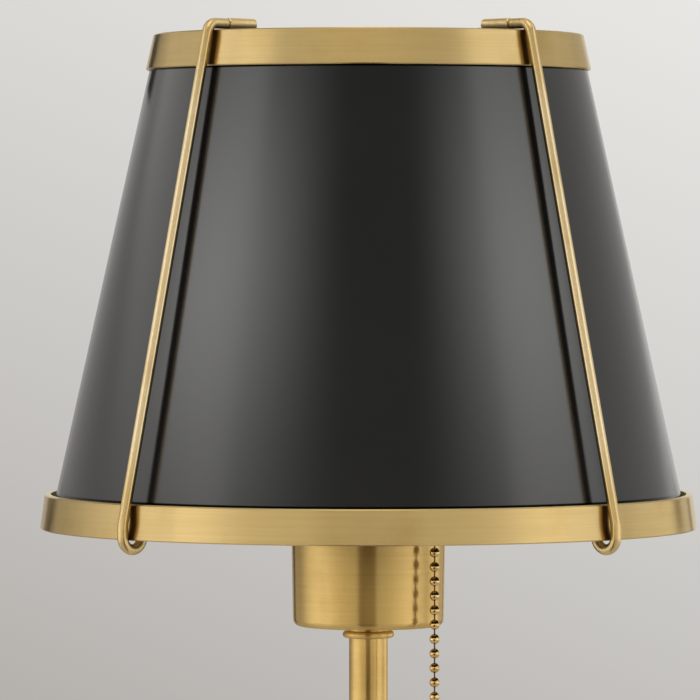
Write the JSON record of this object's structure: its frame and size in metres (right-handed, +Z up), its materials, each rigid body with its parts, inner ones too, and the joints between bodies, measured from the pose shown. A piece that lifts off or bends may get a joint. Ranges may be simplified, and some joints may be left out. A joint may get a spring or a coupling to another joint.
{
  "type": "swing-arm wall lamp",
  "caption": "Wall lamp with a swing arm, an upright stem, a brass cup with a pull-chain switch, and a black conical shade held in a cage of bent brass rods between two brass bands.",
  "frame": {"origin": "middle of the wall plate's back face, on the wall plane, at the height of the arm", "axes": "+Z up, +Y into the wall, the lamp reaches out along -Y, +X to the right seen from the room"},
  "size_m": [0.2021, 0.291, 0.3453],
  "materials": {
    "brass": "brushed antique brass",
    "shade_black": "satin black outside, flat black inside",
    "steel": "zinc plated",
    "phenolic": "moulded",
    "frosted_glass": "frosted",
    "earth_green": "dyed",
    "bronze": "plain"
  },
  "bodies": {
    "mount": {"wall_bracket": "steel", "earth_screw": "earth_green", "plate_studs": "steel", "cap_nuts": "brass", "wall_plate": "brass", "fork_post": "brass", "post_nut": "steel", "pivot_pin": "brass", "pin_nut": "brass", "thrust_washers": "bronze"},
    "arm": {"arm_knuckle": "brass", "arm_tube": "brass", "elbow": "brass", "finial": "brass", "stem_tube": "brass", "stem_collar": "brass", "socket_cup": "brass", "nipple": "steel", "nipple_nut": "steel", "socket_base": "phenolic", "socket_skirt": "phenolic", "screw_shell": "brass", "centre_contact": "brass", "shade_ring": "brass", "shade_spider": "brass", "shade": "shade_black", "top_band": "brass", "bottom_band": "brass", "cage_rod_front_right": "brass", "cage_rod_back_right": "brass", "cage_rod_back_left": "brass", "cage_rod_front_left": "brass", "ferrule_front_right": "brass", "ferrule_back_right": "brass", "ferrule_back_left": "brass", "ferrule_front_left": "brass", "ferrule_nuts": "steel", "bulb_glass": "frosted_glass", "bulb_cap": "steel", "bulb_insulator": "phenolic", "bulb_contact": "steel", "lever_pin": "steel", "return_spring": "steel"},
    "lever": {"switch_lever": "brass"},
    "pull": {"chain_head": "brass"},
    "swivel": {"chain_swivel": "brass"},
    "drop": {"chain_drop": "brass", "chain_weight": "brass"}
  },
  "joints": [
    {"name": "arm_swing", "type": "hinge", "parent": "mount", "child": "arm", "pos_m": [0, -0.055, 0], "axis": [0, 0, 1], "range_deg": [-60, 60]},
    {"name": "chain_pull", "type": "slide", "parent": "arm", "child": "pull", "axis": [0, 0, -1], "range_m": [0, 0.0078], "stiffness_N_per_m": 400, "springref_m": -0.005},
    {"name": "lever_tilt", "type": "hinge", "parent": "arm", "child": "lever", "pos_m": [0.00424, -0.19424, 0.139], "axis": [0.7071, 0.7071, 0], "range_deg": [0, 20]},
    {"name": "chain_swing_out", "type": "hinge", "parent": "pull", "child": "swivel", "pos_m": [0.02008, -0.21008, 0.13705], "axis": [-0.7071, -0.7071, 0], "range_deg": [-3, 30]},
    {"name": "chain_swing_side", "type": "hinge", "parent": "swivel", "child": "drop", "pos_m": [0.02008, -0.21008, 0.13705], "axis": [0.7071, -0.7071, 0], "range_deg": [-30, 30]}
  ],
  "couplings": [
    {"joint": "lever_tilt", "follows": "chain_pull", "rad_per_m": 44.75}
  ]
}
